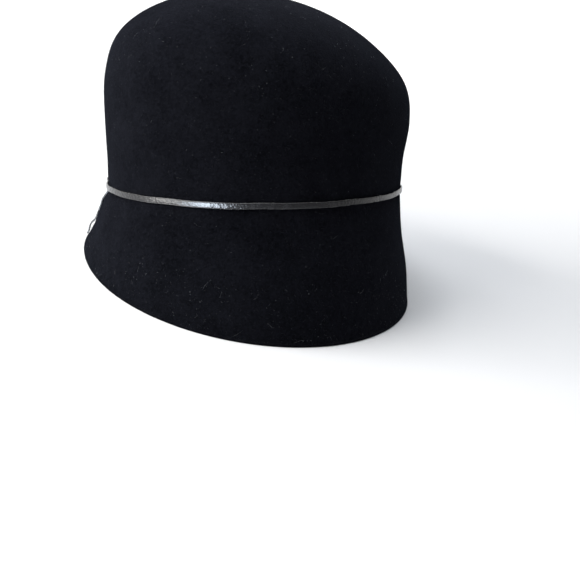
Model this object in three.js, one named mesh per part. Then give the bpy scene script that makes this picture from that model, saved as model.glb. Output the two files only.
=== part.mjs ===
// Cloche hat standing on its rim: a felt body in one piece and a narrow leather strap round the
// base of its crown, with a leather wrap over the strap's join and one loose end.
// Millimetres, +Z up, the front towards -Y and the wearer's left towards +X.
// The felt is worked out as it sits on a hat block, with the strap level. The finished hat is then
// tipped until its slanting rim lies flat.

import * as THREE from 'three';

// Head opening, inside the felt at the base of the crown
const headWidth = 167.6;
const headLength = 194.2;
const feltThickness = 2.4;
// Share by which the head's oval is wider at the back and narrower at the front
const backWidening = 0.04;

// Crown, above the crease where the brim begins
const crownHeight = 107;
// Powers of the dome's section: higher ones give a flatter top and squarer shoulders
const crownFlatness = 3.05;
const shoulderSquareness = 2.2;

// Brim, from the crease down to the rim
const brimDepth = 49;
const rimWidth = 199.6;
const rimLength = 224;
const rimShiftLeft = -3.5;
const rimShiftBack = 1;
// Slant of the rim against the strap: how far it drops to the wearer's left and to the front
const sideSlant = THREE.MathUtils.degToRad(13);
const frontSlant = THREE.MathUtils.degToRad(3);
// Last share of the brim's depth over which the wall turns until the cut edge lies flat
const cutEdgeTurn = 0.4;

// Strap, laid on the felt just above the crease, and the gap that all pieces keep
const strapWidth = 3;
const strapThickness = 1;
const clearance = 0.35;

// Wrap over the strap's join, on the wearer's right, and how far it stays above the crease
const joinAzimuth = THREE.MathUtils.degToRad(-155);
const wrapLength = 7;
const wrapThickness = 0.7;
const creaseMargin = 0.2;

// Loose end below the wrap: it stops short of the rim and drifts to the front on its way down
const looseEndThickness = 0.9;
const rimMargin = 2.5;
const looseEndDrift = THREE.MathUtils.degToRad(3);

// Fineness of the facets
const roundSteps = 64;
const crownRows = 17;
const brimRows = 8;
const wrapSteps = 4;
const looseEndSteps = 14;
// Small step, in radians round the hat or as a share of its height, for reading slopes
const slopeStep = 0.01;

const headHalfWidth = headWidth / 2 + feltThickness;
const headHalfLength = headLength / 2 + feltThickness;
// The wrap holds the strap, a clearance and its own wall on each side
const wrapHalfHeight = strapWidth / 2 + clearance + wrapThickness;
const strapRise = wrapHalfHeight + creaseMargin;

// Crown sections: height as a share of crownHeight, fullness as a share of the head's oval, and the
// section's shift to the back and to the wearer's left as shares of the half length and half width
const crownSections = [
  { rise: 0.0, fullness: 1.0, back: 0.0, left: 0.0 },
  { rise: 0.2, fullness: 1.005, back: 0.005, left: 0.0 },
  { rise: 0.4, fullness: 1.05, back: 0.03, left: 0.0 },
  { rise: 0.6, fullness: 1.09, back: 0.005, left: -0.01 },
  { rise: 0.8, fullness: 1.08, back: -0.08, left: -0.05 },
  { rise: 1.0, fullness: 1.04, back: -0.12, left: -0.08 },
];

// Brim sections: depth as a share of the way to the rim, and how far the felt has spread by then
// from the head's oval to the rim's, on the wearer's right and left
const brimSections = [
  { drop: 0.0, spreadRight: 0.0, spreadLeft: 0.0 },
  { drop: 0.33, spreadRight: 0.35, spreadLeft: 0.28 },
  { drop: 0.67, spreadRight: 0.62, spreadLeft: 0.75 },
  { drop: 1.0, spreadRight: 1.0, spreadLeft: 1.0 },
];

// Waves of the loose end: place along it, height off the felt and half length, as shares of its
// length
const looseEndWaves = [
  { along: 0.28, height: 0.012, reach: 0.14 },
  { along: 0.82, height: 0.03, reach: 0.16 },
];

const feltColour = 0x17181b;
const leatherColour = 0x1b1a1a;

// A smooth reading of a table between its rows: key is the column that is looked up, and the named
// columns, two or three, come back as x, y and z
function tableReader(rows, key, columns) {
  const points = rows.map((row) => new THREE.Vector3(...columns.map((name) => row[name])));
  const curve = new THREE.CatmullRomCurve3(points, false, 'catmullrom');
  const spans = rows.length - 1;
  return (value) => {
    const row = Math.min(spans, rows.filter((entry) => entry[key] <= value).length) - 1;
    const share = (value - rows[row][key]) / (rows[row + 1][key] - rows[row][key]);
    return curve.getPoint((row + share) / spans);
  };
}

const readCrown = tableReader(crownSections, 'rise', ['fullness', 'back', 'left']);
const readBrim = tableReader(brimSections, 'drop', ['spreadRight', 'spreadLeft']);

// A point of an egg-shaped oval, wider at the back
function oval(azimuth, halfWidth, halfLength) {
  const sideways = halfWidth * Math.cos(azimuth) * (1 + backWidening * Math.sin(azimuth));
  return new THREE.Vector2(sideways, halfLength * Math.sin(azimuth));
}

// Outer surface of the crown: climb runs from 0 at the crease to 1 at the top. The dome's section is
// a superellipse, whose rows are crowded a little towards the crease.
function crownPoint(azimuth, climb) {
  const rowCrowding = 1.4;
  const angle = (Math.PI / 2) * climb ** rowCrowding;
  const rise = Math.sin(angle) ** (2 / crownFlatness);
  const closing = Math.max(0, Math.cos(angle)) ** (2 / shoulderSquareness);
  const { x: fullness, y: back, z: left } = readCrown(rise);
  const edge = oval(azimuth, headHalfWidth, headHalfLength).multiplyScalar(fullness * closing);
  return new THREE.Vector3(
    edge.x + left * headHalfWidth,
    edge.y + back * headHalfLength,
    crownHeight * rise,
  );
}

// Height of the rim's slanting plane, and its direction
function rimHeight(x, y) {
  return -brimDepth - Math.tan(sideSlant) * x + Math.tan(frontSlant) * y;
}
const rimUp = new THREE.Vector3(Math.tan(sideSlant), -Math.tan(frontSlant), 1).normalize();

// Outer surface of the brim: drop runs from 0 at the crease to 1 at the rim
function brimPoint(azimuth, drop) {
  const { x: spreadRight, y: spreadLeft } = readBrim(drop);
  const leftness = (1 + Math.cos(azimuth)) / 2;
  const spread = THREE.MathUtils.lerp(spreadRight, spreadLeft, leftness);
  const head = oval(azimuth, headHalfWidth, headHalfLength);
  const rim = oval(azimuth, rimWidth / 2, rimLength / 2);
  rim.add(new THREE.Vector2(rimShiftLeft, rimShiftBack));
  const depth = drop * rimHeight(rim.x, rim.y);
  head.lerp(rim, spread);
  return new THREE.Vector3(head.x, head.y, depth);
}

// Outer surface of the whole felt body: level is 1 at the top, 0 at the crease and -1 at the rim
function feltPoint(azimuth, level) {
  return level > 0 ? crownPoint(azimuth, level) : brimPoint(azimuth, -level);
}

// Outward normal of the felt, from its slopes round and up the hat
function feltNormal(azimuth, level) {
  const above = feltPoint(azimuth, Math.min(level + slopeStep, 1));
  const below = feltPoint(azimuth, Math.max(level - slopeStep, -1));
  const ahead = feltPoint(azimuth + slopeStep, level);
  const behind = feltPoint(azimuth - slopeStep, level);
  return ahead.sub(behind).cross(above.sub(below)).normalize();
}

// Inner surface of the felt: one thickness inside the outer one. Near the rim the step inwards
// turns into the rim's plane, so that the cut edge is flat.
function innerPoint(azimuth, level) {
  const inwards = feltNormal(azimuth, level).negate();
  const turn = THREE.MathUtils.smoothstep(-level, 1 - cutEdgeTurn, 1);
  inwards.addScaledVector(rimUp, -turn * inwards.dot(rimUp)).normalize();
  return feltPoint(azimuth, level).addScaledVector(inwards, feltThickness);
}

// A closed surface through equal rings of points, from one pole to the other
function ringedGeometry(firstPole, rings, lastPole) {
  const positions = [firstPole, ...rings.flat(), lastPole];
  const count = rings[0].length;
  const faces = [];
  for (let step = 0; step < count; step += 1) {
    const next = (step + 1) % count;
    faces.push(0, 1 + step, 1 + next);
    for (let ring = 0; ring < rings.length - 1; ring += 1) {
      const upper = 1 + ring * count;
      const lower = upper + count;
      faces.push(upper + step, lower + step, lower + next, upper + step, lower + next, upper + next);
    }
    const end = 1 + (rings.length - 1) * count;
    faces.push(end + step, positions.length - 1, end + next);
  }
  return indexedGeometry(positions, faces);
}

// A flat outline carried along a row of places, each with a centre, a direction across and a
// direction out, and closed by flat ends or on itself. Across, out and the way along follow the
// right hand.
function sweptGeometry(outline, places, closed) {
  const positions = places.flatMap(({ centre, across, out }) => outline.map((corner) => centre
    .clone().addScaledVector(across, corner.x).addScaledVector(out, corner.y)));
  const count = outline.length;
  const faces = [];
  const spans = closed ? places.length : places.length - 1;
  for (let span = 0; span < spans; span += 1) {
    const here = span * count;
    const there = ((span + 1) % places.length) * count;
    for (let corner = 0; corner < count; corner += 1) {
      const next = (corner + 1) % count;
      faces.push(here + corner, there + next, there + corner);
      faces.push(here + corner, here + next, there + next);
    }
  }
  if (!closed) {
    const end = (places.length - 1) * count;
    for (const [a, b, c] of THREE.ShapeUtils.triangulateShape(outline, [])) {
      faces.push(a, c, b, end + a, end + b, end + c);
    }
  }
  return indexedGeometry(positions, faces);
}

function indexedGeometry(positions, faces) {
  const geometry = new THREE.BufferGeometry();
  geometry.setAttribute('position', new THREE.Float32BufferAttribute(
    positions.flatMap((point) => point.toArray()), 3));
  geometry.setIndex(faces);
  geometry.computeVertexNormals();
  return geometry;
}

function steps(count, from, to) {
  return Array.from({ length: count + 1 }, (_, step) => from + ((to - from) * step) / count);
}

const azimuths = steps(roundSteps, 0, 2 * Math.PI).slice(0, -1);

function leatherMaterial() {
  return new THREE.MeshStandardMaterial({ color: leatherColour, roughness: 0.38, metalness: 0 });
}

// Crown and brim, blocked from one piece of felt
function feltBody() {
  const outerLevels = [...steps(crownRows, 1, 0).slice(1), ...steps(brimRows, 0, -1).slice(1)];
  const innerLevels = outerLevels.slice().reverse();
  const rings = [
    ...outerLevels.map((level) => azimuths.map((azimuth) => feltPoint(azimuth, level))),
    ...innerLevels.map((level) => azimuths.map((azimuth) => innerPoint(azimuth, level))),
  ];
  const top = feltPoint(0, 1);
  const innerTop = top.clone().setZ(top.z - feltThickness);
  const material = new THREE.MeshStandardMaterial({ color: feltColour, roughness: 0.95, metalness: 0 });
  return named('felt_body', ringedGeometry(top, rings, innerTop), material);
}

// Level of the crown's surface at a height above the crease, found by halving
function levelAtHeight(height) {
  const halvings = 40;
  let low = 0;
  let high = 1;
  for (let halving = 0; halving < halvings; halving += 1) {
    const middle = (low + high) / 2;
    if (crownPoint(0, middle).z < height) low = middle;
    else high = middle;
  }
  return low;
}

const strapLevel = levelAtHeight(strapRise);

// A place on the strap's line: across points up the felt and out points away from it
function strapPlace(azimuth) {
  const out = feltNormal(azimuth, strapLevel);
  const ahead = feltPoint(azimuth + slopeStep, strapLevel);
  const along = ahead.sub(feltPoint(azimuth - slopeStep, strapLevel));
  const across = out.clone().cross(along).normalize();
  return { centre: feltPoint(azimuth, strapLevel), across, out };
}

function rectangle(width, inner, outer) {
  return [
    new THREE.Vector2(-width / 2, inner),
    new THREE.Vector2(width / 2, inner),
    new THREE.Vector2(width / 2, outer),
    new THREE.Vector2(-width / 2, outer),
  ];
}

function strap() {
  const outline = rectangle(strapWidth, clearance, clearance + strapThickness);
  const geometry = sweptGeometry(outline, azimuths.map(strapPlace), true);
  return named('strap', geometry, leatherMaterial());
}

// The wrap folds over the strap's top, outside and bottom, and leaves the strap its clearance
function strapWrap() {
  const halfHollow = strapWidth / 2 + clearance;
  const hollowDepth = 2 * clearance + strapThickness;
  const outline = [
    new THREE.Vector2(-wrapHalfHeight, clearance),
    new THREE.Vector2(-halfHollow, clearance),
    new THREE.Vector2(-halfHollow, hollowDepth),
    new THREE.Vector2(halfHollow, hollowDepth),
    new THREE.Vector2(halfHollow, clearance),
    new THREE.Vector2(wrapHalfHeight, clearance),
    new THREE.Vector2(wrapHalfHeight, hollowDepth + wrapThickness),
    new THREE.Vector2(-wrapHalfHeight, hollowDepth + wrapThickness),
  ];
  const ahead = feltPoint(joinAzimuth + slopeStep, strapLevel);
  const turnPerLength = slopeStep / ahead.distanceTo(feltPoint(joinAzimuth, strapLevel));
  const halfTurn = (wrapLength / 2) * turnPerLength;
  const places = steps(wrapSteps, joinAzimuth - halfTurn, joinAzimuth + halfTurn).map(strapPlace);
  return named('strap_keeper', sweptGeometry(outline, places, false), leatherMaterial());
}

// Length of the brim's slope, from the crease to the rim
function brimReach(azimuth) {
  return brimPoint(azimuth, 0).distanceTo(brimPoint(azimuth, 1));
}

const looseEndLength = brimReach(joinAzimuth + looseEndDrift) - clearance - rimMargin;

// Height of the loose end's waves off the felt, at a share of its length
function waveHeight(along) {
  return looseEndWaves.reduce((height, wave) => {
    const distance = Math.min(1, Math.abs(along - wave.along) / wave.reach);
    return height + wave.height * looseEndLength * (1 + Math.cos(Math.PI * distance)) / 2;
  }, 0);
}

// The strap's loose end starts below the wrap, hangs down the brim and stands off it in waves. It
// leaves the wrap in line with the strap and has turned to the brim's slope by freeShare.
function looseEnd() {
  const freeShare = 0.3;
  const strapOut = strapPlace(joinAzimuth).out;
  const places = steps(looseEndSteps, 0, 1).map((along) => {
    const azimuth = joinAzimuth + looseEndDrift * along;
    const drop = (clearance + looseEndLength * along) / brimReach(azimuth);
    const turned = THREE.MathUtils.smoothstep(along, 0, freeShare);
    const out = strapOut.clone().lerp(feltNormal(azimuth, -drop), turned).normalize();
    const lower = feltPoint(azimuth, -drop - slopeStep);
    const down = lower.sub(feltPoint(azimuth, -drop + slopeStep));
    const across = out.clone().cross(down).normalize();
    return { centre: feltPoint(azimuth, -drop).addScaledVector(out, waveHeight(along)), across, out };
  });
  const outline = rectangle(strapWidth, clearance, clearance + looseEndThickness);
  return named('strap_tail', sweptGeometry(outline, places, false), leatherMaterial());
}

function named(name, geometry, material) {
  const mesh = new THREE.Mesh(geometry, material);
  mesh.name = name;
  return mesh;
}

// Tips the hat until the rim's plane is level, and stands the middle of its base on the origin
function standOnRim(pieces) {
  const tipped = new THREE.Group();
  tipped.add(...pieces);
  tipped.quaternion.setFromUnitVectors(rimUp, new THREE.Vector3(0, 0, 1));
  const box = new THREE.Box3().setFromObject(tipped, true);
  const middle = box.getCenter(new THREE.Vector3());
  tipped.position.set(-middle.x, -middle.y, -box.min.z);
  return tipped;
}

const hat = new THREE.Group();
hat.name = 'cloche_hat';
hat.add(standOnRim([feltBody(), strap(), strapWrap(), looseEnd()]));

export default hat;
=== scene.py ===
"""Cloche hat of black wool felt with a narrow leather strap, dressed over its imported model.

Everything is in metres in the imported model's frame: +Z up from the surface that the rim rests
on, the front towards -Y and the wearer's left towards +X. The felt's surfaces are worked out as
the hat sits on a hat block, with the strap level, and are then tipped until the rim lies flat.
"""

import math

import bpy
import numpy as np
from mathutils import Matrix, Vector


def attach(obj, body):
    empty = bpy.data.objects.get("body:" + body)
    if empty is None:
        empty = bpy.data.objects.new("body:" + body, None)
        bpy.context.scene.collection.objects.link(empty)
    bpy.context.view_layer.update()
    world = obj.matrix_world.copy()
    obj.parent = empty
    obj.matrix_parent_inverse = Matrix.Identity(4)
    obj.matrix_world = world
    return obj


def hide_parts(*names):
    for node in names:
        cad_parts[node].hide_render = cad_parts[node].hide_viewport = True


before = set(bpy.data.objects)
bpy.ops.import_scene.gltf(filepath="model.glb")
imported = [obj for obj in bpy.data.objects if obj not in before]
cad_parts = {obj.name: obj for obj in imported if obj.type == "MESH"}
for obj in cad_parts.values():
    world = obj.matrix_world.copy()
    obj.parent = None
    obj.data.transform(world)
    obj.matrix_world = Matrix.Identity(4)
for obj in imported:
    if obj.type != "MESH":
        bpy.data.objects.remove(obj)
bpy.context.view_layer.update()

BODY = "root"
FELT_NODE, STRAP_NODE, WRAP_NODE, LOOSE_END_NODE = "felt_body", "strap", "strap_keeper", "strap_tail"
FELT_SLOT, LEATHER_SLOT = "felt", "strap_leather"
LEATHER_PIECES = "leather_pieces"
TURN = 2 * math.pi
QUARTER_TURN = math.pi / 2

bl_info = {
    "name": "Felt Cloche Hat",
    "version": (1, 0, 0),
    "blender": (4, 5, 0),
    "location": "3D View > Sidebar > Cloche",
    "description": "Black wool felt cloche hat with a narrow leather strap",
    "category": "Add Mesh",
}

# How finely each piece is made
FELT_COLUMNS, CROWN_ROWS, BRIM_ROWS, EDGE_ROWS = 320, 84, 52, 5
STRAP_COLUMNS, STRAP_FACE_POINTS, STRAP_CORNER_POINTS = 720, 25, 5
WRAP_COLUMNS, WRAP_CORNER_POINTS = 33, 7
LOOSE_END_COLUMNS = 120
NAP_RINGS, LINT_RINGS = 3, 8
FLOOR_COLUMNS, FLOOR_ROWS, WALL_ROWS = 96, 24, 12

# Steps in azimuth and level over which slopes and areas are read, the grid that finds the felt's
# box, and the table of the crown's lower levels in which the strap's level is looked up
SLOPE_STEP, AREA_STEP = 0.01, 0.004
BOX_COLUMNS, BOX_ROWS = 512, 256
LOW_LEVEL, LOW_LEVEL_ROWS = 0.3, 3001

# Crown sections: height as a share of the crown's, fullness as a share of the head's oval, and the
# shift to the back and the wearer's left as shares of the half length and half width
CROWN_SECTIONS = (
    (0.0, 1.0, 0.0, 0.0),
    (0.2, 1.005, 0.005, 0.0),
    (0.4, 1.05, 0.03, 0.0),
    (0.6, 1.09, 0.005, -0.01),
    (0.8, 1.08, -0.08, -0.05),
    (1.0, 1.04, -0.12, -0.08),
)
# Power of the level that sets the crown's rows closer together near the crease
CLIMB_POWER = 1.4

# Brim sections: share of the way down to the rim, and how far the felt has spread by then from the
# head's oval to the rim's, on the wearer's right and left
BRIM_SECTIONS = (
    (0.0, 0.0, 0.0),
    (0.33, 0.35, 0.28),
    (0.67, 0.62, 0.75),
    (1.0, 1.0, 1.0),
)

# Slow unevenness of the blocked felt: waves round the hat, waves from top to rim, phase, and height
# as a share of the felt's unevenness. The waves grow from nothing at the top to full at a depth
FELT_WAVES = (
    (2, 1.5, 0.6, 0.9),
    (3, 2.5, 2.1, 0.7),
    (5, 2.0, 4.4, 0.5),
    (7, 3.5, 1.2, 0.3),
    (9, 5.0, 3.3, 0.2),
)
CALM_DEPTH = 0.5

# Spread of the hollow under the strap as a share of the strap's width, the height over which the
# crease is soft, and how often its rows are averaged
HOLLOW_SPREAD = 1.2
CREASE_HEIGHT, CREASE_PASSES = 0.004, 3

# The strap's section: its corners, the arch of its face and the start of its lighter edge, partly
# burnished and partly a painted highlight, as shares of the thickness, the place and spread of its
# pressed lines as shares of the width, the part of the face that has points of its own, and how much
# of a corner counts as fully lighter edge
STRAP_CORNER, STRAP_ARCH, BURNISH_START = 0.32, 0.05, 0.25
LINE_PLACE, LINE_SPREAD = 0.39, 0.035
FACE_PART, BURNISHED_CORNER = 0.96, 0.3

# The strap's gap to the felt as a share of the clearance, and how it wavers up and down the felt:
# waves round the hat, phase and height
STRAP_GAP = 0.4
STRAP_RIPPLES = ((11, 0.7, 0.00012), (23, 2.0, 0.00008))

# The wrap thins towards its ends, and once more from a share of its half length on, both as shares
# of its thickness. It is a little rubbed all over
WRAP_THINNING, WRAP_END_THINNING, WRAP_END = 0.18, 0.45, 0.93
WRAP_RUBBING = 0.25

# Waves of the strap's loose end: place along it, height off the felt and half length, as shares
# of its length. Over its first part it turns from the strap's slope to the brim's, and its twist
# is an angle and the number of times that it goes to and fro
LOOSE_END_WAVES = ((0.28, 0.012, 0.14), (0.82, 0.03, 0.16))
LOOSE_END_BEND = 0.3
LOOSE_END_TWIST, LOOSE_END_TWISTS = 0.1, 1.1

# Places drawn for each one kept, and the least area that a place stands for
DRAWN_PLACES, LEAST_AREA = 3, 1e-12

# All fibres: sides, the tip's share of the radius, the slope past which rings are turned from
# another axis, the span of the random lift, and the share of a half turn in a fibre's rise
FIBRE_SIDES, FIBRE_TIP, STEEP = 3, 0.35, 0.9
LIFTS, RISE = (0.3, 1.6), 0.62

# Nap: levels of the felt between which it stands, spans of random lengths and radii, lift and bend
# as shares of the length, and the mean and spread of its turn from round the hat to straight down
NAP_SEED, NAP_LEVELS = 27, (-0.985, 0.995)
NAP_LENGTHS, NAP_RADII = (0.5, 1.6), (0.7, 1.4)
NAP_LIFT, NAP_BEND, NAP_TURN = 0.42, 0.35, (0.4, 0.9)

# Fringe along the cut edge: the same, with its turn from straight out, and how far it reaches out
FRINGE_LEVELS, FRINGE_LENGTHS = (-0.985, -0.965), (0.35, 0.9)
FRINGE_LIFT, FRINGE_BEND, FRINGE_TURN, FRINGE_REACH = 0.2, 0.4, (0, 1.1), 0.9

# Lint: the levels of the felt between which it gathers with its share of all the lint, spans of
# random radii and a speck's lengths as shares of the lint's radius, mean and spread of the
# logarithm of a thread's length, lift and bend as shares of the length, and height over the felt
LINT_SEED = 63
LINT_ZONES = (((-0.96, -0.55), 0.4), ((0.4, 0.98), 0.3), ((-0.96, 0.98), 0.3))
SPECK_RADII, SPECK_LENGTHS = (1.2, 3.2), (4.0, 14.0)
THREAD_RADII, THREAD_LENGTHS = (0.7, 1.2), (-0.2, 0.55)
LINT_LIFT, LINT_BEND, LINT_HEIGHT = 0.16, 0.5, 0.00012

# Stage: radius of the fan at the floor's middle, the place behind the hat where the glow starts to
# grow, its share high up the wall, the camera's sensor in millimetres, the nearest distance that it
# sees, and the room's faint light
FLOOR_MIDDLE = 0.02
GLOW_START, HIGH_GLOW = 0.2, 0.08
SENSOR_WIDTH, NEAREST_VIEW = 36, 0.01
ROOM_TINT, ROOM_STRENGTH = (0.9, 0.93, 1.0, 1), 0.03

# Lights, which face the hat's middle: name, azimuth and elevation in degrees, distance, width and
# height, watts, tint, and the collection that alone they light, if there is one
HAT_MIDDLE = (0, 0, 0.07)
LIGHTS = (
    ("high_window", -172, 50, 1.2, (0.8, 0.8), 9, (0.96, 0.97, 1.0), None),
    ("left_window", -135, 25, 1.2, (0.9, 0.6), 30, (1.0, 0.98, 0.96), None),
    ("top_panel", -175, 78, 1.4, (1.2, 0.8), 21, (0.88, 0.93, 1.0), None),
    ("front_glint", -92, -4.8, 0.3, (0.11, 0.08), 1.8, (0.78, 0.88, 1.0), LEATHER_PIECES),
    ("left_glint", -122, -7.5, 0.3, (0.14, 0.06), 0.5, (1.0, 0.98, 0.95), LEATHER_PIECES),
)


def length(name, description, default):
    return bpy.props.FloatProperty(
        name=name, description=description, default=default, unit="LENGTH", subtype="DISTANCE", precision=5)


def share(name, description, default):
    return bpy.props.FloatProperty(name=name, description=description, default=default)


def angle(name, description, degrees):
    return bpy.props.FloatProperty(
        name=name, description=description, default=math.radians(degrees), unit="ROTATION", subtype="ANGLE")


def colour(name, description, default):
    return bpy.props.FloatVectorProperty(
        name=name, description=description, default=default, size=3, subtype="COLOR", min=0, max=1)


def count(name, description, default):
    return bpy.props.IntProperty(name=name, description=description, default=default, min=1)


class ClocheFeltSizes(bpy.types.PropertyGroup):
    """Sizes and colours of the felt body"""

    head_width: length("Head width", "Inside width of the head opening", 0.1676)
    head_length: length("Head length", "Inside length of the head opening", 0.1942)
    thickness: length("Felt thickness", "Thickness of the felt wall", 0.0024)
    back_widening: share("Back widening", "Share by which the oval is wider at the back", 0.04)
    crown_height: length("Crown height", "Height of the crown above the crease", 0.107)
    crown_flatness: share("Crown flatness", "Power of the dome's section in height", 3.05)
    shoulder_squareness: share("Shoulder squareness", "Power of the dome's section across", 2.2)
    brim_depth: length("Brim depth", "Depth of the brim below the crease at the middle", 0.049)
    rim_width: length("Rim width", "Outside width of the rim", 0.1996)
    rim_length: length("Rim length", "Outside length of the rim", 0.224)
    rim_shift_left: length("Rim shift left", "Shift of the rim to the wearer's left", -0.0035)
    rim_shift_back: length("Rim shift back", "Shift of the rim to the back", 0.001)
    side_slant: angle("Side slant", "Drop of the rim towards the wearer's left", 13)
    front_slant: angle("Front slant", "Drop of the rim towards the front", 3)
    cut_edge_turn: share("Cut edge turn", "Last share of the brim that turns to the flat edge", 0.4)
    edge_rounding: length("Edge rounding", "Radius of the worn corners of the cut edge", 0.0006)
    unevenness: length("Unevenness", "Height of the slow waves in the blocked felt", 0.00045)
    strap_hollow: length("Strap hollow", "Depth to which the strap draws the felt in", 0.00025)
    # Dark wool is partly the dye and partly painted shade, laid in the matting's hollows
    dark: colour("Dark wool", "Colour in the hollows of the nap", (0.0015, 0.0016, 0.0023))
    # Light wool is partly the dye and partly a painted highlight, laid on the matting's raised parts
    light: colour("Light wool", "Colour on the tips of the nap", (0.0051, 0.0055, 0.0075))
    dust: colour("Dust", "Colour of the pale dust in the nap", (0.07, 0.073, 0.08))
    sheen_tint: colour("Sheen tint", "Tint of the nap's sheen", (0.72, 0.8, 1.0))


class ClocheStrapSizes(bpy.types.PropertyGroup):
    """Sizes and colours of the strap, its wrap and its loose end"""

    width: length("Strap width", "Width of the strap", 0.003)
    thickness: length("Strap thickness", "Thickness of the strap", 0.001)
    clearance: length("Clearance", "Gap between neighbouring pieces", 0.00035)
    join_azimuth: angle("Join", "Direction of the strap's join from the wearer's left", -155)
    wrap_length: length("Wrap length", "Length of the wrap along the strap", 0.007)
    wrap_thickness: length("Wrap thickness", "Thickness of the wrap's leather", 0.0007)
    crease_margin: length("Crease margin", "Height of the wrap above the crease", 0.0002)
    loose_end_thickness: length("Loose end thickness", "Thickness of the loose end", 0.0009)
    rim_margin: length("Rim margin", "Distance at which the loose end stops above the rim", 0.0025)
    loose_end_drift: angle("Loose end drift", "Turn of the loose end to the front on its way", 3)
    line_depth: length("Pressed line depth", "Depth of the pressed lines along the edges", 0.00013)
    dark: colour("Leather", "Colour of the leather's face", (0.004, 0.0038, 0.004))
    # The edges' colour is partly burnished wear and partly a painted highlight along the edge lines
    edge: colour("Edge", "Colour of the burnished edges", (0.03, 0.029, 0.028))


class ClocheNapSizes(bpy.types.PropertyGroup):
    """Fibres that stand off the felt, and the lint caught on it"""

    fibres: count("Nap fibres", "Number of wool fibres that stand off the felt", 9000)
    edge_fibres: count("Edge fibres", "Number of wool fibres along the cut edge", 2600)
    fibre_length: length("Fibre length", "Usual length of a standing fibre", 0.0011)
    fibre_radius: length("Fibre radius", "Radius of a wool fibre", 0.000016)
    lint_threads: count("Lint threads", "Number of pale threads", 150)
    lint_specks: count("Lint specks", "Number of pale specks", 900)
    lint_length: length("Lint length", "Usual length of a pale thread", 0.0028)
    lint_radius: length("Lint radius", "Radius of a pale thread", 0.000032)
    lint: colour("Lint", "Colour of the lint", (0.2, 0.205, 0.22))


class ClocheStageSizes(bpy.types.PropertyGroup):
    """Floor, its glow, and camera"""

    floor_radius: length("Floor radius", "Radius of the level floor", 2.6)
    sweep_radius: length("Sweep radius", "Radius of the sweep from floor to wall", 0.5)
    wall_height: length("Wall height", "Height of the pale wall", 3.2)
    back_glow: share("Back glow", "Light that the backdrop gives off behind the hat", 0.95)
    front_glow: share("Front glow", "Light that the floor gives off at the hat and in front", 0.06)
    glow_depth: length("Glow depth", "Distance behind the hat at which the glow is full", 1.4)
    glow_height: length("Glow height", "Height at which the wall's glow has faded", 1.1)
    camera_place: bpy.props.FloatVectorProperty(
        name="Camera place", description="Where the camera stands", default=(0.122, -0.356, 0.144),
        size=3, unit="LENGTH", subtype="XYZ")
    camera_turn: angle("Camera turn", "Direction of view, to the left of straight back", 14.4)
    camera_dip: angle("Camera dip", "Slope of the view below the horizon", 22.7)
    camera_roll: angle("Camera roll", "Tilt of the camera about its line of view", 14.3)
    lens: share("Lens", "Focal length in millimetres on a 36 mm wide sensor", 38.5)
    floor: colour("Floor", "Colour of the floor", (0.55, 0.55, 0.55))


def felt_sizes():
    return bpy.context.scene.cloche_felt


def strap_sizes():
    return bpy.context.scene.cloche_strap


def nap_sizes():
    return bpy.context.scene.cloche_nap


def stage_sizes():
    return bpy.context.scene.cloche_stage


def unit(vectors):
    return vectors / np.linalg.norm(vectors, axis=-1, keepdims=True)


def smooth_step(values, low, high):
    """Rises from 0 at low to 1 at high as three times the square less twice the cube."""
    t = np.clip((values - low) / (high - low), 0, 1)
    return t * t * (3 - 2 * t)


def raised_cosine(values, middle, half_length):
    """1 at the middle, falling as half a cosine wave to 0 at the half length on each side."""
    return (1 + np.cos(math.pi * np.minimum(1, np.abs(values - middle) / half_length))) / 2


def read_table(rows, value):
    """Columns after the first, read between rows on a cubic whose slope at each row is half the step
    between the rows on its two sides. Past each end the table is carried on straight by one row."""
    table = np.array(rows)
    keys, columns = table[:, 0], table[:, 1:]
    before, after = 2 * columns[0] - columns[1], 2 * columns[-1] - columns[-2]
    points = np.concatenate([[before], columns, [after]])
    row = np.clip(np.searchsorted(keys, value, side="right") - 1, 0, len(keys) - 2)
    t = ((value - keys[row]) / (keys[row + 1] - keys[row]))[..., None]
    a, b, c, d = (points[row + step] for step in range(4))
    curve = b + 0.5 * t * (c - a + t * (2 * a - 5 * b + 4 * c - d + t * (3 * (b - c) + d - a)))
    return np.moveaxis(curve, -1, 0)


def head_half_sizes():
    """Half the width and length of the outer felt's oval at the crease."""
    felt = felt_sizes()
    return felt.head_width / 2 + felt.thickness, felt.head_length / 2 + felt.thickness


def oval(azimuth, half_width, half_length):
    """An ellipse whose width grows with the sine of the azimuth, so that it is wider at the back."""
    widening = 1 + felt_sizes().back_widening * np.sin(azimuth)
    return half_width * np.cos(azimuth) * widening, half_length * np.sin(azimuth)


def crown_points(azimuth, climb):
    """Outer crown. Height is a power of the sine of the climb and width a power of its cosine, a
    superellipse, and the head's oval is scaled and shifted by the crown sections at that height."""
    felt = felt_sizes()
    turn = QUARTER_TURN * np.clip(climb, 0, 1) ** CLIMB_POWER
    rise = np.sin(turn) ** (2 / felt.crown_flatness)
    closing = np.clip(np.cos(turn), 0, 1) ** (2 / felt.shoulder_squareness)
    fullness, back, left = read_table(CROWN_SECTIONS, rise)
    half_width, half_length = head_half_sizes()
    x, y = oval(azimuth, half_width, half_length)
    size = fullness * closing
    return np.stack([x * size + left * half_width, y * size + back * half_length,
                     felt.crown_height * rise], -1)


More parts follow.
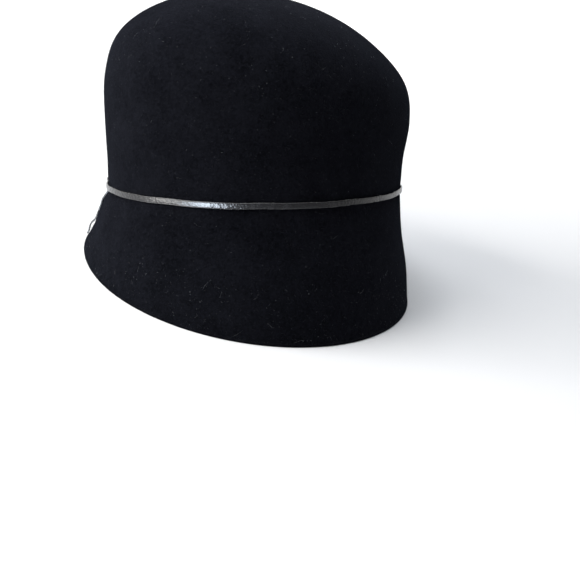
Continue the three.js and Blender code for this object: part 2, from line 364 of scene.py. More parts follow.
def brim_points(azimuth, drop):
    """Outer brim. The head's oval runs to the rim's oval by the brim sections' spread, and falls in
    proportion to the drop until it meets the rim's slanting plane."""
    felt = felt_sizes()
    right, left = read_table(BRIM_SECTIONS, drop)
    spread = right + (left - right) * (1 + np.cos(azimuth)) / 2
    head_x, head_y = oval(azimuth, *head_half_sizes())
    rim_x, rim_y = oval(azimuth, felt.rim_width / 2, felt.rim_length / 2)
    rim_x, rim_y = rim_x + felt.rim_shift_left, rim_y + felt.rim_shift_back
    rim_z = -felt.brim_depth - math.tan(felt.side_slant) * rim_x + math.tan(felt.front_slant) * rim_y
    return np.stack([head_x + (rim_x - head_x) * spread, head_y + (rim_y - head_y) * spread,
                     drop * rim_z], -1)


def felt_points(azimuth, level):
    """Outer felt: level is 1 at the top, 0 at the crease and -1 at the rim."""
    azimuth, level = np.broadcast_arrays(azimuth, level)
    crown = crown_points(azimuth, np.maximum(level, 0))
    brim = brim_points(azimuth, np.maximum(-level, 0))
    return np.where(level[..., None] > 0, crown, brim)


def felt_normals(azimuth, level):
    """Outward normals: the slope round the hat crossed with the slope up it."""
    azimuth, level = np.broadcast_arrays(azimuth, level)
    round_it = felt_points(azimuth + SLOPE_STEP, level) - felt_points(azimuth - SLOPE_STEP, level)
    up_it = (felt_points(azimuth, np.minimum(level + SLOPE_STEP, 1))
             - felt_points(azimuth, np.maximum(level - SLOPE_STEP, -1)))
    return unit(np.cross(round_it, up_it))


def rim_up():
    """Direction square to the rim's slanting plane, on the side of the crown."""
    felt = felt_sizes()
    return unit(np.array([math.tan(felt.side_slant), -math.tan(felt.front_slant), 1.0]))


def stand_on_rim(points):
    """Tips blocked points by the shortest turn that lays the rim's plane level, and stands the
    middle of the felt's box on the origin."""
    turn = Vector(rim_up()).rotation_difference(Vector((0, 0, 1))).to_matrix()
    turn = np.array(turn)
    azimuth, level = np.meshgrid(np.linspace(0, TURN, BOX_COLUMNS), np.linspace(-1, 1, BOX_ROWS))
    outline = felt_points(azimuth, level).reshape(-1, 3) @ turn.T
    low, high = outline.min(0), outline.max(0)
    base = np.array([(low[0] + high[0]) / 2, (low[1] + high[1]) / 2, low[2]])
    return points @ turn.T - base


def grid_faces(rows, columns, close_columns=True, close_rows=False):
    """Quads of a grid of points. They face outwards where the rows run down the outside and the
    columns anticlockwise, seen from above."""
    row = np.arange(rows if close_rows else rows - 1)
    column = np.arange(columns if close_columns else columns - 1)
    row, column = np.meshgrid(row, column, indexing="ij")
    below, beside = (row + 1) % rows, (column + 1) % columns
    quads = np.stack([row * columns + column, below * columns + column,
                      below * columns + beside, row * columns + beside], -1)
    return quads.reshape(-1, 4)


def make_piece(name, points, quads, triangles, material, attributes=None):
    """Puts arrays of points, quads and triangles into a mesh and links its object at the origin."""
    triangles = np.asarray(triangles, int).reshape(-1, 3)
    loops = np.concatenate([quads.ravel(), triangles.ravel()]).astype(np.int32)
    sizes = np.concatenate([np.full(len(quads), 4), np.full(len(triangles), 3)]).astype(np.int32)
    starts = np.concatenate([[0], np.cumsum(sizes)[:-1]]).astype(np.int32)
    mesh = bpy.data.meshes.new(name)
    mesh.vertices.add(len(points))
    mesh.vertices.foreach_set("co", np.asarray(points, np.float32).ravel())
    mesh.loops.add(len(loops))
    mesh.loops.foreach_set("vertex_index", loops)
    mesh.polygons.add(len(sizes))
    mesh.polygons.foreach_set("loop_start", starts)
    mesh.polygons.foreach_set("use_smooth", np.ones(len(sizes), bool))
    for key, values in (attributes or {}).items():
        layer = mesh.attributes.new(key, "FLOAT", "POINT")
        layer.data.foreach_set("value", np.asarray(values, np.float32).ravel())
    mesh.update(calc_edges=True)
    mesh.validate()
    mesh.materials.append(material)
    piece = bpy.data.objects.new(name, mesh)
    bpy.context.scene.collection.objects.link(piece)
    return piece


def dress(piece, node, slot):
    """The piece rides on the hat and stands for the node, if it has one. Leather pieces are gathered for
    the lights that are theirs alone."""
    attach(piece, BODY)
    if node:
        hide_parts(node)
    if slot == LEATHER_SLOT:
        leather = bpy.data.collections.get(LEATHER_PIECES) or bpy.data.collections.new(LEATHER_PIECES)
        leather.objects.link(piece)


class Nodes:
    """A short way to build one material's nodes."""

    def __init__(self, name):
        self.material = bpy.data.materials.new(name)
        self.material.use_nodes = True
        self.tree = self.material.node_tree
        self.shader = self.tree.nodes["Principled BSDF"]
        self.place = self.tree.nodes.new("ShaderNodeTexCoord").outputs["Object"]

    def add(self, kind, settings=(), **links):
        node = self.tree.nodes.new("ShaderNode" + kind)
        for key, value in dict(settings).items():
            setattr(node, key, value)
        for key, value in links.items():
            self.join(value, node.inputs[key.replace("_", " ")])
        return node

    def join(self, value, socket):
        if isinstance(value, bpy.types.NodeSocket):
            self.tree.links.new(value, socket)
        else:
            socket.default_value = value

    def noise(self, scale, detail, roughness=0.55, distortion=0.0):
        return self.add("TexNoise", Vector=self.place, Scale=scale, Detail=detail,
                        Roughness=roughness, Distortion=distortion).outputs["Fac"]

    def cells(self, scale, randomness=1.0, feature="F1"):
        return self.add("TexVoronoi", {"feature": feature}, Vector=self.place, Scale=scale,
                        Randomness=randomness).outputs["Distance"]

    def math(self, operation, first, second):
        node = self.add("Math", {"operation": operation})
        self.join(first, node.inputs[0])
        self.join(second, node.inputs[1])
        return node.outputs[0]

    def ramp(self, value, *stops):
        """Colours between two stops, each a place and a colour."""
        node = self.add("ValToRGB", Fac=value)
        for element, (place, tint) in zip(node.color_ramp.elements, stops):
            element.position = place
            element.color = (*tint, 1.0)
        return node.outputs["Color"]

    def span(self, value, given, wanted):
        """Turns values between the two given ones into values between the two wanted ones."""
        node = self.add("MapRange", Value=value)
        for key, number in zip(("From Min", "From Max", "To Min", "To Max"), (*given, *wanted)):
            node.inputs[key].default_value = number
        return node.outputs["Result"]

    def mix(self, share_of_second, first, second):
        """A mix of two colours, whose sockets share their names with the node's other kinds."""
        node = self.add("Mix", {"data_type": "RGBA"})
        self.join(share_of_second, node.inputs[0])
        self.join(first, node.inputs[6])
        self.join(second, node.inputs[7])
        return node.outputs[2]

    def bump(self, height, strength, distance, under=None):
        node = self.add("Bump", Height=height, Strength=strength, Distance=distance)
        if under:
            self.join(under, node.inputs["Normal"])
        return node.outputs["Normal"]

    def finish(self, **sockets):
        for key, value in sockets.items():
            self.join(value, self.shader.inputs[key.replace("_", " ")])
        return self.material


def scaled(tint, factor):
    return [factor * channel for channel in tint]


def wool_felt():
    """Matted black wool: cloudy dye, matted fibres with painted shade in their hollows and a painted
    highlight on their raised parts, a fine nap and pale dust.
    """
    felt = felt_sizes()
    nodes = Nodes("wool_felt")
    clouds = nodes.noise(scale=55, detail=4, roughness=0.6, distortion=0.4)
    mat = nodes.noise(scale=620, detail=5, roughness=0.65, distortion=1.2)
    nap = nodes.noise(scale=2600, detail=3, roughness=0.6)
    cloudiness = 0.3
    tone = nodes.math("ADD", nodes.math("MULTIPLY", clouds, cloudiness),
                      nodes.math("MULTIPLY", mat, 1 - cloudiness))
    # The ramp follows the matting's bump as well as the cloudy dye: painted shade in its hollows, a painted
    # highlight on its raised parts
    wool = nodes.ramp(tone, (0.37, felt.dark), (0.62, felt.light))
    dust_grains = nodes.span(nodes.cells(scale=420), given=(0.04, 0.12), wanted=(1, 0))
    dusty_places = nodes.span(nodes.noise(scale=90, detail=2), given=(0.52, 0.68), wanted=(0, 0.7))
    dusty = nodes.mix(nodes.math("MULTIPLY", dust_grains, dusty_places), wool, (*felt.dust, 1))
    matting = nodes.bump(mat, strength=0.65, distance=0.00055)
    surface = nodes.bump(nap, strength=0.5, distance=0.00018, under=matting)
    return nodes.finish(
        Base_Color=dusty, Roughness=1.0, Specular_IOR_Level=0.0, Normal=surface,
        Sheen_Weight=0.018, Sheen_Roughness=0.5, Sheen_Tint=(*felt.sheen_tint, 1))


def wool_fibre():
    """Single fibres of the same wool, from its dark tone to three times the light tone that the felt
    carries as a painted highlight.
    """
    felt = felt_sizes()
    nodes = Nodes("wool_fibre")
    tone = nodes.ramp(nodes.noise(scale=260, detail=2), (0.35, felt.dark), (0.65, scaled(felt.light, 3)))
    return nodes.finish(Base_Color=tone, Roughness=0.7, Specular_IOR_Level=0.35)


def pale_lint():
    """Dull pale threads and specks, greyer in places."""
    nap = nap_sizes()
    nodes = Nodes("pale_lint")
    tone = nodes.ramp(nodes.noise(scale=140, detail=2), (0.35, scaled(nap.lint, 0.45)), (0.68, nap.lint))
    return nodes.finish(Base_Color=tone, Roughness=0.9, Specular_IOR_Level=0.2)


def pebbled_leather():
    """Black leather with a fine pebbled grain, lighter edges that are partly rubbed and partly a painted
    highlight, and small scuffs that dull its gloss.
    """
    strap = strap_sizes()
    nodes = Nodes("pebbled_leather")
    pebbles = nodes.cells(scale=1150, randomness=0.95, feature="SMOOTH_F1")
    creases = nodes.noise(scale=900, detail=5, roughness=0.7, distortion=0.6)
    scuffs = nodes.noise(scale=170, detail=4, roughness=0.65)
    face = nodes.ramp(scuffs, (0.4, strap.dark), (0.75, scaled(strap.dark, 1.9)))
    # The edge attribute lightens the strap's and loose end's edges, partly as burnished wear and partly as
    # a painted highlight; on the wrap it is rubbing only
    rubbed = nodes.add("Attribute", {"attribute_name": "edge"}).outputs["Fac"]
    worn = nodes.math("MULTIPLY", rubbed, nodes.span(creases, given=(0.3, 0.6), wanted=(0.35, 1.0)))
    face_with_edge_wear_and_highlight = nodes.mix(worn, face, (*strap.edge, 1))
    roughness = nodes.span(scuffs, given=(0.35, 0.7), wanted=(0.2, 0.32))
    grain = nodes.bump(pebbles, strength=0.9, distance=0.0002)
    surface = nodes.bump(creases, strength=0.3, distance=0.00011, under=grain)
    return nodes.finish(Base_Color=face_with_edge_wear_and_highlight, Roughness=roughness, Specular_IOR_Level=0.28, Normal=surface)


def pale_floor():
    """A pale surface that gives off light of its own: a little at the hat and in front, most of it
    behind, and less again up the wall."""
    stage = stage_sizes()
    nodes = Nodes("pale_floor")
    faint = scaled(stage.floor, 0.985)
    tone = nodes.ramp(nodes.noise(scale=3, detail=2), (0.3, faint), (0.7, stage.floor))
    place = nodes.add("SeparateXYZ", Vector=nodes.place).outputs
    behind = nodes.span(place["Y"], (GLOW_START, stage.glow_depth), (stage.front_glow, stage.back_glow))
    low = nodes.span(place["Z"], (stage.glow_height / 2, stage.glow_height), (1.0, HIGH_GLOW))
    return nodes.finish(
        Base_Color=tone, Roughness=0.85, Specular_IOR_Level=0.1, Emission_Color=(1, 1, 1, 1),
        Emission_Strength=nodes.math("MULTIPLY", behind, low))


def shared(maker):
    """Each material carries its maker's name, is made once and is shared by the pieces of its kind."""
    return bpy.data.materials.get(maker.__name__) or maker()


def felt_waves(azimuth, level):
    """Slow unevenness of the felt: a sum of sines round the hat and cosines down it, calm at the
    top. The strap follows it."""
    waves = sum(height * np.sin(round_it * azimuth + phase) * np.cos(down_it * (1 - level))
                for round_it, down_it, phase, height in FELT_WAVES)
    return felt_sizes().unevenness / 2 * waves * smooth_step(1 - level, 0.0, CALM_DEPTH)


def felt_relief(azimuth, level, heights):
    """How far the felt stands off its blocked shape: its waves, and a hollow in the shape of a bell
    curve under the strap with a low swell above and below it."""
    from_strap = (heights - strap_rise()) / (strap_sizes().width * HOLLOW_SPREAD)
    hollow = (1 - from_strap ** 2 / 2) * np.exp(-from_strap ** 2 / 2)
    return felt_waves(azimuth, level) - felt_sizes().strap_hollow * hollow


def outer_felt_grid():
    """Blocked outer felt as rows from the top to the rim, with its relief. The crease is softened by
    a running mean down each column, which fades above and below it as a bell curve."""
    azimuth = np.linspace(0, TURN, FELT_COLUMNS, endpoint=False)
    level = np.concatenate([np.linspace(1, 0, CROWN_ROWS + 1)[1:], np.linspace(0, -1, BRIM_ROWS + 1)[1:]])
    azimuth, level = np.meshgrid(azimuth, level)
    points, normals = felt_points(azimuth, level), felt_normals(azimuth, level)
    points = points + normals * felt_relief(azimuth, level, points[..., 2])[..., None]
    soft = points.copy()
    for _ in range(CREASE_PASSES):
        soft[1:-1] = (soft[:-2] + 2 * soft[1:-1] + soft[2:]) / 4
    near_crease = np.exp(-(points[..., 2] / CREASE_HEIGHT) ** 2)[..., None]
    return azimuth, level, points + (soft - points) * near_crease


def felt_shell_rows():
    """Rows of the whole shell: the outer felt, the cut edge and the inner felt back to the top. The
    wall steps inwards by the felt's thickness and turns into the rim's plane near the rim. The cut
    edge is flat, with corners rounded as quarter circles in place of the rows nearest to it."""
    felt = felt_sizes()
    azimuth, level, outer = outer_felt_grid()
    up = rim_up()
    inwards = -felt_normals(azimuth, level)
    turn = smooth_step(-level, 1 - felt.cut_edge_turn, 1)[..., None]
    inwards = unit(inwards - turn * (inwards @ up)[..., None] * up)
    inner = outer + inwards * felt.thickness
    rim_outer, rim_inner = outer[-1], inner[-1]
    to_rim = (rim_outer @ up) - (brim_points(azimuth[-1], np.ones(FELT_COLUMNS)) @ up)
    rim_outer = rim_outer - to_rim[:, None] * up
    rim_inner = rim_inner - ((rim_inner - rim_outer) @ up)[:, None] * up
    radius = felt.edge_rounding
    corner = np.linspace(0, QUARTER_TURN, EDGE_ROWS)[:, None, None]
    across = unit(rim_inner - rim_outer)
    outer_corner = rim_outer + across * radius * (1 - np.cos(corner)) + up * radius * (1 - np.sin(corner))
    inner_corner = rim_inner - across * radius * (1 - np.sin(corner)) + up * radius * (1 - np.cos(corner))
    kept_rows = np.count_nonzero(((outer - rim_outer) @ up)[:, 0] > 2 * radius)
    return np.concatenate([outer[:kept_rows], outer_corner, inner_corner, inner[:kept_rows][::-1]])


def make_felt_body():
    """The shell's rows, with a fan to a point at the top of the outer and of the inner felt."""
    rows = felt_shell_rows()
    top = felt_points(np.array(0.0), np.array(1.0))
    inner_top = top - [0, 0, felt_sizes().thickness]
    points = np.concatenate([rows.reshape(-1, 3), [top, inner_top]])
    here = np.arange(FELT_COLUMNS)
    ahead = (here + 1) % FELT_COLUMNS
    pole, last = len(points) - 2, (len(rows) - 1) * FELT_COLUMNS
    fans = np.concatenate([
        np.stack([np.full(FELT_COLUMNS, pole), here, ahead], -1),
        np.stack([last + here, np.full(FELT_COLUMNS, pole + 1), last + ahead], -1)])
    quads = grid_faces(len(rows), FELT_COLUMNS)
    return make_piece("felt_shell", stand_on_rim(points), quads, fans, shared(wool_felt))


def wrap_half_height():
    strap = strap_sizes()
    return strap.width / 2 + strap.clearance + strap.wrap_thickness


def strap_rise():
    """Height of the strap's centre line above the crease, which keeps the wrap clear of it."""
    return wrap_half_height() + strap_sizes().crease_margin


def strap_level():
    """Level on the crown at the height of the strap's centre line, read back from a fine table."""
    levels = np.linspace(0, LOW_LEVEL, LOW_LEVEL_ROWS)
    heights = crown_points(np.zeros(LOW_LEVEL_ROWS), levels)[:, 2]
    return float(np.interp(strap_rise(), heights, levels))


def strap_places(azimuth):
    """Centre line of the strap on the felt, with the directions up the felt and away from it."""
    level = np.full_like(azimuth, strap_level())
    out = felt_normals(azimuth, level)
    centre = felt_points(azimuth, level) + out * felt_waves(azimuth, level)[..., None]
    along = felt_points(azimuth + SLOPE_STEP, level) - felt_points(azimuth - SLOPE_STEP, level)
    return centre, unit(np.cross(out, along)), out


def rounded_outline(width, inner, outer, corner, points_a_corner):
    """A rectangle from inner to outer with quarter-circle corners, as places across and out. The
    two inner corners come first."""
    turns = np.linspace(0, QUARTER_TURN, points_a_corner)
    centres = ((-1, inner + corner, math.pi), (1, inner + corner, 1.5 * math.pi),
               (1, outer - corner, 0.0), (-1, outer - corner, 0.5 * math.pi))
    return np.concatenate([
        np.stack([side * (width / 2 - corner) + corner * np.cos(start + turns),
                  middle + corner * np.sin(start + turns)], -1)
        for side, middle, start in centres])


def strap_outline(thickness, inner):
    """The strap's section: a thin rectangle with worn corners, a face that is crowned like a shallow
    arch, and a pressed line near each edge in the shape of a bell curve. Also gives how far each
    point counts as lighter edge, partly burnished and partly a painted highlight."""
    strap = strap_sizes()
    width, corner = strap.width, thickness * STRAP_CORNER
    base = rounded_outline(width, inner, inner + thickness, corner, STRAP_CORNER_POINTS)
    face = np.linspace(FACE_PART, -FACE_PART, STRAP_FACE_POINTS) * (width / 2 - corner)
    line = width * LINE_PLACE
    height = (inner + thickness + STRAP_ARCH * thickness * (1 - (2 * face / width) ** 2)
              - strap.line_depth * np.exp(-((np.abs(face) - line) / (width * LINE_SPREAD)) ** 2))
    before_face = 3 * STRAP_CORNER_POINTS
    outline = np.concatenate([base[:before_face], np.stack([face, height], -1), base[before_face:]])
    edge = smooth_step(np.abs(outline[:, 0]), line, width / 2 - corner * BURNISHED_CORNER)
    edge = edge * (outline[:, 1] > inner + thickness * BURNISH_START)
    return outline, edge


def carried(outline, centre, across, out):
    """An outline carried along places: rows are the outline's points, columns the places."""
    return centre[None] + outline[:, None, :1] * across[None] + outline[:, None, 1:] * out[None]


def swept_piece(name, outline_rows, edge, closed):
    """A swept leather surface, closed on itself or by fans to the middle of each flat end."""
    rows, columns = outline_rows.shape[:2]
    points = outline_rows.reshape(-1, 3)
    quads = grid_faces(rows, columns, closed, close_rows=True)
    edges = np.repeat(edge, columns)
    fans = []
    if not closed:
        row = np.arange(rows)
        below = (row + 1) % rows
        first = len(points)
        points = np.concatenate([points, outline_rows[:, [0, -1]].mean(0)])
        edges = np.concatenate([edges, [1.0, 1.0]])
        fans = np.concatenate([
            np.stack([np.full(rows, first), below * columns, row * columns], -1),
            np.stack([np.full(rows, first + 1), row * columns + columns - 1,
                      below * columns + columns - 1], -1)])
    return make_piece(name, stand_on_rim(points), quads, fans, shared(pebbled_leather), {"edge": edges})


def make_strap():
    """The strap's section carried round the crown, wavering up and down as a sum of two sines."""
    strap = strap_sizes()
    azimuth = np.linspace(0, TURN, STRAP_COLUMNS, endpoint=False)
    centre, across, out = strap_places(azimuth)
    ripple = sum(height * np.sin(waves * azimuth + phase) for waves, phase, height in STRAP_RIPPLES)
    outline, edge = strap_outline(strap.thickness, strap.clearance * STRAP_GAP)
    rows = carried(outline, centre + across * ripple[:, None], across, out)
    return swept_piece("leather_strap", rows, edge, closed=True)


def turn_per_length():
    """Azimuth gained for each metre along the strap at its join."""
    azimuth = np.array([strap_sizes().join_azimuth, strap_sizes().join_azimuth + SLOPE_STEP])
    ends = felt_points(azimuth, strap_level())
    return SLOPE_STEP / np.linalg.norm(ends[1] - ends[0])


def make_wrap():
    """The wrap is a folded strip with rounded outer corners, open towards the felt. Its outside
    thins as the fourth power of the way to each end."""
    strap = strap_sizes()
    thickness, half_height = strap.wrap_thickness, wrap_half_height()
    hollow = strap.width / 2 + strap.clearance
    depth = 2 * strap.clearance + strap.thickness
    outer = rounded_outline(
        2 * half_height, strap.clearance, depth + thickness, thickness, WRAP_CORNER_POINTS)
    outside = np.concatenate([[[half_height, strap.clearance]], outer[2 * WRAP_CORNER_POINTS:],
                              [[-half_height, strap.clearance]]])
    inside = np.array([[-hollow, strap.clearance], [-hollow, depth], [hollow, depth],
                       [hollow, strap.clearance]])
    outline = np.concatenate([outside, inside])
    along = np.linspace(-1, 1, WRAP_COLUMNS)
    half_turn = strap.wrap_length / 2 * turn_per_length()
    centre, across, out = strap_places(strap.join_azimuth + half_turn * along)
    rows = carried(outline, centre, across, out)
    from_middle = np.abs(along)
    thinning = WRAP_THINNING * thickness * from_middle ** 4
    thinning = thinning + WRAP_END_THINNING * thickness * smooth_step(from_middle, WRAP_END, 1.0)
    is_outside = np.arange(len(outline)) < len(outside)
    height = np.where(is_outside, (outline[:, 1] - strap.clearance) / (depth + thickness), 0)
    rows = rows - (height[:, None] * thinning[None])[..., None] * out[None]
    return swept_piece("leather_wrap", rows, np.where(is_outside, WRAP_RUBBING, 0.0), closed=False)


def brim_reach(azimuth):
    """Straight distance from the crease to the rim."""
    return np.linalg.norm(felt_points(azimuth, 0.0) - felt_points(azimuth, -1.0), axis=-1)


def make_loose_end():
    """The loose end follows the brim's slope down, stands off it in raised-cosine waves, and twists
    a little about its own line on its way."""
    strap = strap_sizes()
    along = np.linspace(0, 1, LOOSE_END_COLUMNS)
    azimuth = strap.join_azimuth + strap.loose_end_drift * along
    reach = brim_reach(np.array(strap.join_azimuth + strap.loose_end_drift))
    whole = reach - strap.clearance - strap.rim_margin
    level = -(strap.clearance + whole * along) / brim_reach(azimuth)
    turned = smooth_step(along, 0, LOOSE_END_BEND)[:, None]
    strap_out = strap_places(np.array([strap.join_azimuth]))[2]
    out = unit(strap_out * (1 - turned) + felt_normals(azimuth, level) * turned)
    lift = sum(whole * height * raised_cosine(along, place, half_length)
               for place, height, half_length in LOOSE_END_WAVES)
    down = felt_points(azimuth, level - SLOPE_STEP) - felt_points(azimuth, level + SLOPE_STEP)
    across = unit(np.cross(out, down))
    twist = (LOOSE_END_TWIST * np.sin(TURN * along * LOOSE_END_TWISTS))[:, None]
    across, out = across * np.cos(twist) + out * np.sin(twist), out * np.cos(twist) - across * np.sin(twist)
    centre = felt_points(azimuth, level) + out * (lift + felt_waves(azimuth, level))[:, None]
    outline, edge = strap_outline(strap.loose_end_thickness, strap.clearance)
    return swept_piece("leather_loose_end", carried(outline, centre, across, out), edge, closed=False)


def scattered_places(rng, amount, levels):
    """Random places on the outer felt between two levels, even by area: the place, the normal, and
    the directions round the hat and down it. Of the places drawn, those are kept whose random wait
    is shortest, which is divided by the area that the place stands for."""
    drawn = amount * DRAWN_PLACES
    azimuth = rng.uniform(0, TURN, drawn)
    level = rng.uniform(*levels, drawn)
    round_it = felt_points(azimuth + AREA_STEP, level) - felt_points(azimuth - AREA_STEP, level)
    round_it = round_it / AREA_STEP
    lower = np.maximum(level - AREA_STEP, -1)
    upper = np.minimum(level + AREA_STEP, 1)
    up_it = (felt_points(azimuth, upper) - felt_points(azimuth, lower)) / (upper - lower)[:, None]
    area = np.linalg.norm(np.cross(round_it, up_it), axis=-1)
    chosen = np.argsort(rng.exponential(1, drawn) / np.maximum(area, LEAST_AREA))[:amount]
    azimuth, level = azimuth[chosen], level[chosen]
    normal = felt_normals(azimuth, level)
    around = unit(round_it[chosen])
    points = felt_points(azimuth, level)
    points = points + normal * felt_relief(azimuth, level, points[:, 2])[:, None]
    return points, normal, around, unit(np.cross(around, normal))


def fibre_arrays(roots, lines, radii):
    """Three-sided fibres: each line of points gets triangular rings that taper to its tip, and both
    ends are closed by a triangle."""
    amount, rings = lines.shape[:2]
    heading = unit(np.gradient(lines, axis=1))
    spare = np.where(np.abs(heading[..., 2:]) < STEEP, [[[0.0, 0, 1.0]]], [[[1.0, 0, 0]]])
    side = unit(np.cross(heading, spare))
    other = np.cross(heading, side)
    turn = np.arange(FIBRE_SIDES) * TURN / FIBRE_SIDES
    taper = np.linspace(1, FIBRE_TIP, rings)[None, :, None, None]
    circle = side[:, :, None] * np.cos(turn)[:, None] + other[:, :, None] * np.sin(turn)[:, None]
    points = roots[:, None, None] + lines[:, :, None] + circle * taper * radii[:, None, None, None]
    base = (np.arange(amount) * rings * FIBRE_SIDES)[:, None, None]
    ring, corner = np.meshgrid(np.arange(rings - 1), np.arange(FIBRE_SIDES), indexing="ij")
    ring, corner = ring.ravel()[None, :, None], corner.ravel()[None, :, None]
    beside = (corner + 1) % FIBRE_SIDES
    near, far = base + ring * FIBRE_SIDES, base + (ring + 1) * FIBRE_SIDES
    quads = np.concatenate([near + corner, near + beside, far + beside, far + corner], -1)
    first = base[:, 0] + [[0, 2, 1]]
    last = base[:, 0] + (rings - 1) * FIBRE_SIDES + [[0, 1, 2]]
    return points.reshape(-1, 3), quads.reshape(-1, 4), np.concatenate([first, last])


def fibre_lines(rng, lengths, heading, normal, lift, bend, rings):
    """Each fibre starts along its heading, rises off the felt as part of a sine and bends sideways
    as the square of the way along."""
    amount = len(lengths)
    along = np.linspace(0, 1, rings)[None, :, None]
    sideways = np.cross(heading, normal)
    rise = (lift * rng.uniform(*LIFTS, amount))[:, None, None] * np.sin(math.pi * RISE * along)
    curl = (bend * rng.normal(0, 1, amount))[:, None, None] * along ** 2
    return lengths[:, None, None] * (heading[:, None] * along + normal[:, None] * rise
                                     + sideways[:, None] * curl)


def stays_above_floor(roots, lines, margin):
    """Which fibres keep all their points a margin above the surface that the hat stands on."""
    return stand_on_rim(roots[:, None] + lines)[..., 2].min(1) > margin


def make_nap():
    """Wool fibres that stand off the felt, brushed round the hat and down, and a raw fringe that
    points outwards along the cut edge. A fibre that would dip below the rim is left out."""
    nap = nap_sizes()
    rng = np.random.default_rng(NAP_SEED)
    points, normal, around, down = scattered_places(rng, nap.fibres, NAP_LEVELS)
    brush = rng.normal(*NAP_TURN, nap.fibres)[:, None]
    heading = unit(around * np.cos(brush) + down * np.sin(brush))
    lengths = nap.fibre_length * rng.uniform(*NAP_LENGTHS, nap.fibres)
    lines = fibre_lines(rng, lengths, heading, normal, NAP_LIFT, NAP_BEND, NAP_RINGS)
    edge_points, out, edge_around, _ = scattered_places(rng, nap.edge_fibres, FRINGE_LEVELS)
    turn = rng.normal(*FRINGE_TURN, nap.edge_fibres)[:, None]
    heading = unit(edge_around * np.sin(turn) + out * FRINGE_REACH)
    lengths = nap.fibre_length * rng.uniform(*FRINGE_LENGTHS, nap.edge_fibres)
    fringe = fibre_lines(rng, lengths, heading, out, FRINGE_LIFT, FRINGE_BEND, NAP_RINGS)
    roots, lines = np.concatenate([points, edge_points]), np.concatenate([lines, fringe])
    clear = stays_above_floor(roots, lines, 2 * nap.fibre_radius)
    roots, lines = roots[clear], lines[clear]
    radii = nap.fibre_radius * rng.uniform(*NAP_RADII, len(roots))
    strands, quads, caps = fibre_arrays(roots, lines, radii)
    return make_piece("felt_nap", stand_on_rim(strands), quads, caps, shared(wool_fibre))


def make_lint():
    """Pale threads that lie on the nap in loose curls, and specks, which are threads hardly longer
    than they are thick. One that would dip below the rim is left out."""
    nap = nap_sizes()
    rng = np.random.default_rng(LINT_SEED)
    wanted = nap.lint_threads + nap.lint_specks
    points, normal, around, down = (
        np.concatenate(parts) for parts in zip(*(
            scattered_places(rng, round(wanted * portion), levels) for levels, portion in LINT_ZONES)))
    amount = len(points)
    speck = rng.permutation(amount) >= nap.lint_threads
    turn = rng.uniform(0, TURN, amount)[:, None]
    heading = unit(around * np.cos(turn) + down * np.sin(turn))
    lengths = np.where(speck, nap.lint_radius * rng.uniform(*SPECK_LENGTHS, amount),
                       nap.lint_length * rng.lognormal(*THREAD_LENGTHS, amount))
    lines = fibre_lines(rng, lengths, heading, normal, LINT_LIFT, LINT_BEND, LINT_RINGS)
    radii = nap.lint_radius * np.where(
        speck, rng.uniform(*SPECK_RADII, amount), rng.uniform(*THREAD_RADII, amount))
    clear = stays_above_floor(points, lines, 4 * nap.lint_radius)
    roots = points + normal * LINT_HEIGHT
    strands, quads, caps = fibre_arrays(roots[clear], lines[clear], radii[clear])
    return make_piece("lint", stand_on_rim(strands), quads, caps, shared(pale_lint))


def make_floor():
    """A round floor that sweeps up into a pale wall: a profile of a level run, a quarter circle and
    an upright, turned about the Z axis."""
    stage = stage_sizes()
    turns = np.linspace(0, QUARTER_TURN, FLOOR_ROWS)
    level = np.stack([np.linspace(FLOOR_MIDDLE, stage.floor_radius, FLOOR_ROWS), np.zeros(FLOOR_ROWS)], -1)
    sweep = np.stack([stage.floor_radius + stage.sweep_radius * np.sin(turns),
                      stage.sweep_radius * (1 - np.cos(turns))], -1)
    upright = np.linspace(stage.sweep_radius, stage.wall_height, WALL_ROWS)[1:]
    wall = np.stack([np.full(len(upright), stage.floor_radius + stage.sweep_radius), upright], -1)
    profile = np.concatenate([level, sweep[1:], wall])
    azimuth = np.linspace(0, TURN, FLOOR_COLUMNS, endpoint=False)
    rows = np.stack([profile[:, :1] * np.cos(azimuth), profile[:, :1] * np.sin(azimuth),
                     np.repeat(profile[:, 1:], FLOOR_COLUMNS, 1)], -1)
    points = np.concatenate([rows.reshape(-1, 3), [[0, 0, 0]]])
    here = np.arange(FLOOR_COLUMNS)
    fan = np.stack([np.full(FLOOR_COLUMNS, len(points) - 1), here, (here + 1) % FLOOR_COLUMNS], -1)
    floor = make_piece("floor", points, grid_faces(len(rows), FLOOR_COLUMNS), fan, shared(pale_floor))


def add_light(name, azimuth, elevation, distance, size, watts, tint, only):
    """A soft oblong light at a direction from the hat, turned to face it. It lights everything, or
    only the named collection."""
    light = bpy.data.lights.new(name, "AREA")
    light.shape = "RECTANGLE"
    light.size, light.size_y = size
    light.energy = watts
    light.color = tint
    lamp = bpy.data.objects.new(name, light)
    azimuth, elevation = math.radians(azimuth), math.radians(elevation)
    heading = Vector((math.cos(azimuth) * math.cos(elevation), math.sin(azimuth) * math.cos(elevation),
                      math.sin(elevation)))
    lamp.location = Vector(HAT_MIDDLE) + heading * distance
    lamp.rotation_euler = heading.to_track_quat("Z", "Y").to_euler()
    lamp.visible_camera = False
    bpy.context.scene.collection.objects.link(lamp)
    if only:
        lamp.light_linking.receiver_collection = bpy.data.collections[only]


def make_camera():
    """A camera turned to the left, dipped below the horizon and rolled about its line of view."""
    stage = stage_sizes()
    turn = Matrix.Rotation(stage.camera_turn, 3, "Z")
    dip = Matrix.Rotation(QUARTER_TURN - stage.camera_dip, 3, "X")
    roll = Matrix.Rotation(stage.camera_roll, 3, "Z")
    data = bpy.data.cameras.new("camera")
    data.sensor_width = SENSOR_WIDTH
    data.lens = stage.lens
    data.clip_start = NEAREST_VIEW
    camera = bpy.data.objects.new("camera", data)
    camera.matrix_world = Matrix.Translation(stage.camera_place) @ (turn @ dip @ roll).to_4x4()
    bpy.context.scene.collection.objects.link(camera)
    bpy.context.scene.camera = camera


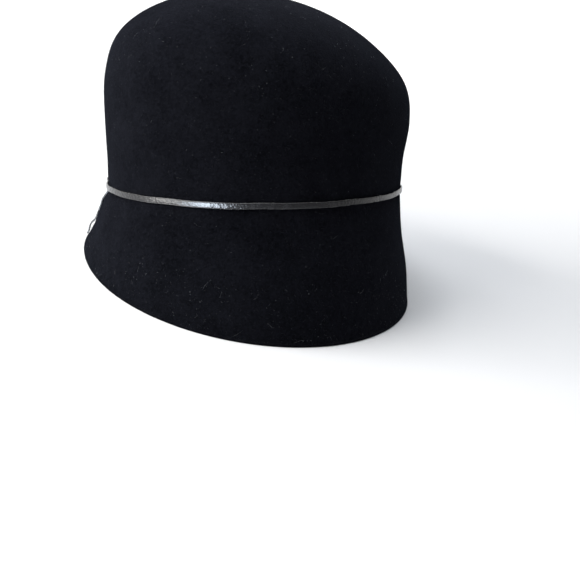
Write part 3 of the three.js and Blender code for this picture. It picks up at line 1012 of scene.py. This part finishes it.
def make_world():
    """The room's faint light, and the plain view of colours."""
    world = bpy.data.worlds.new("studio")
    world.use_nodes = True
    background = world.node_tree.nodes["Background"]
    background.inputs["Color"].default_value = ROOM_TINT
    background.inputs["Strength"].default_value = ROOM_STRENGTH
    bpy.context.scene.world = world
    bpy.context.scene.view_settings.view_transform = "Standard"


class CLOCHE_OT_felt(bpy.types.Operator):
    """Add the felt body: crown and brim in one hollow shell with a raw-cut edge"""

    bl_idname = "cloche.felt"
    bl_label = "Felt body"

    def execute(self, context):
        dress(make_felt_body(), FELT_NODE, FELT_SLOT)
        return {"FINISHED"}


class CLOCHE_OT_strap(bpy.types.Operator):
    """Add the leather strap round the crown's base"""

    bl_idname = "cloche.strap"
    bl_label = "Strap"

    def execute(self, context):
        dress(make_strap(), STRAP_NODE, LEATHER_SLOT)
        return {"FINISHED"}


class CLOCHE_OT_join(bpy.types.Operator):
    """Add the wrap over the strap's join and the loose end below it"""

    bl_idname = "cloche.join"
    bl_label = "Wrap and loose end"

    def execute(self, context):
        dress(make_wrap(), WRAP_NODE, LEATHER_SLOT)
        dress(make_loose_end(), LOOSE_END_NODE, LEATHER_SLOT)
        return {"FINISHED"}


class CLOCHE_OT_nap(bpy.types.Operator):
    """Add the fibres that stand off the felt and the lint caught on it"""

    bl_idname = "cloche.nap"
    bl_label = "Nap and lint"

    def execute(self, context):
        dress(make_nap(), None, FELT_SLOT)
        dress(make_lint(), None, FELT_SLOT)
        return {"FINISHED"}


class CLOCHE_OT_stage(bpy.types.Operator):
    """Add the camera, the room's light, the pale floor and the soft lights"""

    bl_idname = "cloche.stage"
    bl_label = "Stage"

    def execute(self, context):
        make_camera()
        make_world()
        make_floor()
        for light in LIGHTS:
            add_light(*light)
        return {"FINISHED"}


OPERATORS = (CLOCHE_OT_felt, CLOCHE_OT_strap, CLOCHE_OT_join, CLOCHE_OT_nap, CLOCHE_OT_stage)
GROUPS = {
    "cloche_felt": ClocheFeltSizes,
    "cloche_strap": ClocheStrapSizes,
    "cloche_nap": ClocheNapSizes,
    "cloche_stage": ClocheStageSizes,
}


class CLOCHE_PT_panel(bpy.types.Panel):
    """Lists the hat's pieces and their sizes"""

    bl_label = "Cloche hat"
    bl_idname = "CLOCHE_PT_panel"
    bl_space_type = "VIEW_3D"
    bl_region_type = "UI"
    bl_category = "Cloche"

    def draw(self, context):
        for operator in OPERATORS:
            self.layout.operator(operator.bl_idname)
        for name, group in GROUPS.items():
            box = self.layout.box()
            for key in group.__annotations__:
                box.prop(getattr(context.scene, name), key)


def register():
    for group in GROUPS.values():
        bpy.utils.register_class(group)
    for name, group in GROUPS.items():
        setattr(bpy.types.Scene, name, bpy.props.PointerProperty(type=group))
    for kind in (*OPERATORS, CLOCHE_PT_panel):
        bpy.utils.register_class(kind)


def unregister():
    for kind in (CLOCHE_PT_panel, *reversed(OPERATORS)):
        bpy.utils.unregister_class(kind)
    for name, group in GROUPS.items():
        delattr(bpy.types.Scene, name)
        bpy.utils.unregister_class(group)


def main():
    register()
    bpy.ops.cloche.felt()
    bpy.ops.cloche.strap()
    bpy.ops.cloche.join()
    bpy.ops.cloche.nap()
    bpy.ops.cloche.stage()


if __name__ == "__main__":
    main()
